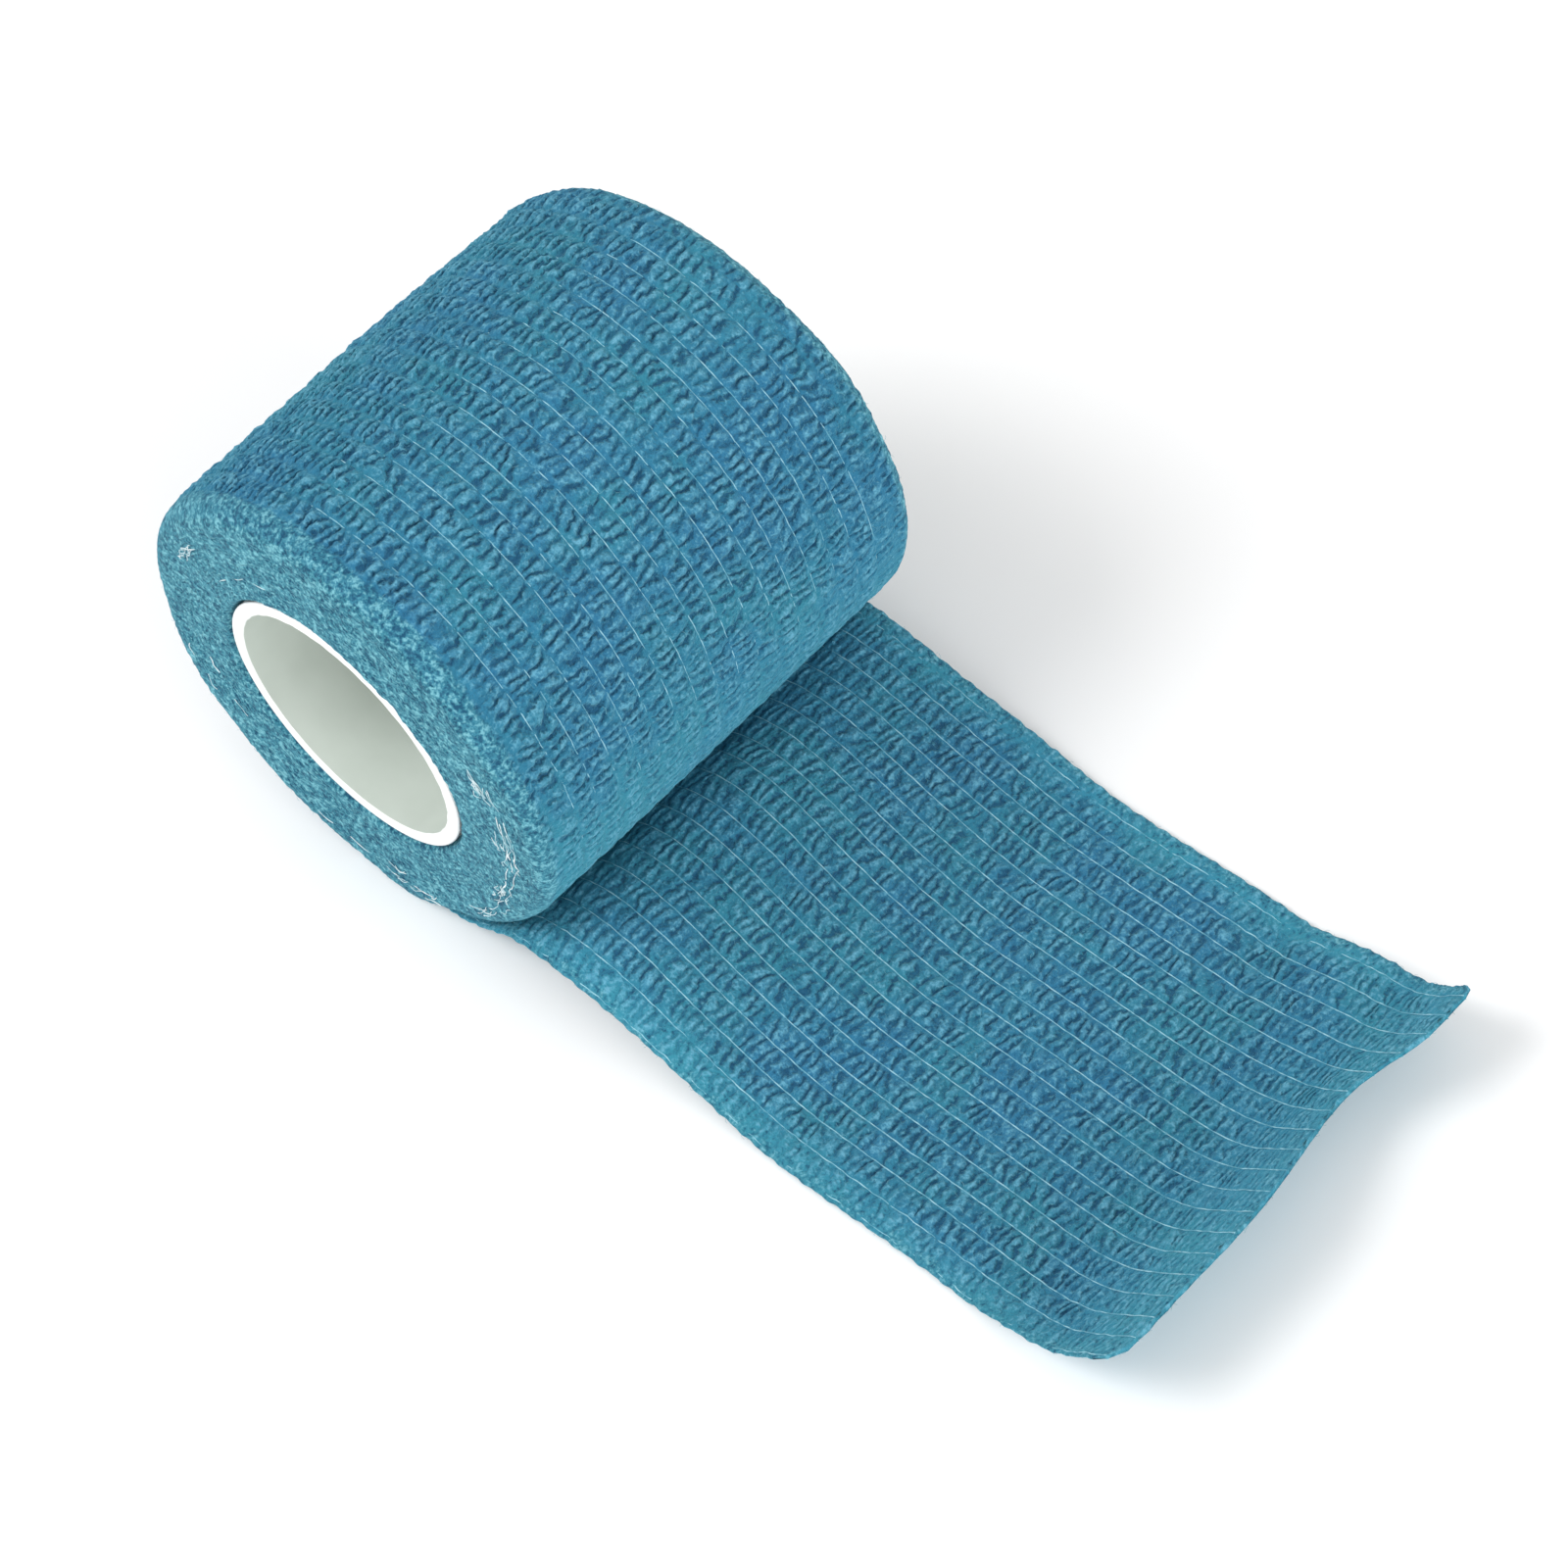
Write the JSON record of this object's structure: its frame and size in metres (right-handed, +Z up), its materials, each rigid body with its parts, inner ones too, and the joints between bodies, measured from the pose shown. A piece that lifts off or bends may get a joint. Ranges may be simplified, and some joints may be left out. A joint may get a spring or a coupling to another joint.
{
  "type": "cohesive bandage roll",
  "caption": "Elastic crepe bandage that sticks to itself, wound on a short plastic core, standing on its side with a loose end laid out and curling up at its cut.",
  "frame": {"origin": "middle of the small flat spot that the roll stands on, straight below the roll's axis and halfway along it", "axes": "+X along the loose end, away from the roll; +Y along the roll's axis, away from the end face that the picture shows; +Z up"},
  "size_m": [0.1176, 0.0517, 0.0509],
  "materials": {
    "bandage_cloth": "crinkled matt teal-blue non-woven cloth with pale elastic yarns along it",
    "core_plastic": "smooth white moulded plastic with a soft sheen"
  },
  "bodies": {
    "root": {"wound_roll": "bandage_cloth", "loose_end": "bandage_cloth", "core_tube": "core_plastic"}
  },
  "joints": []
}
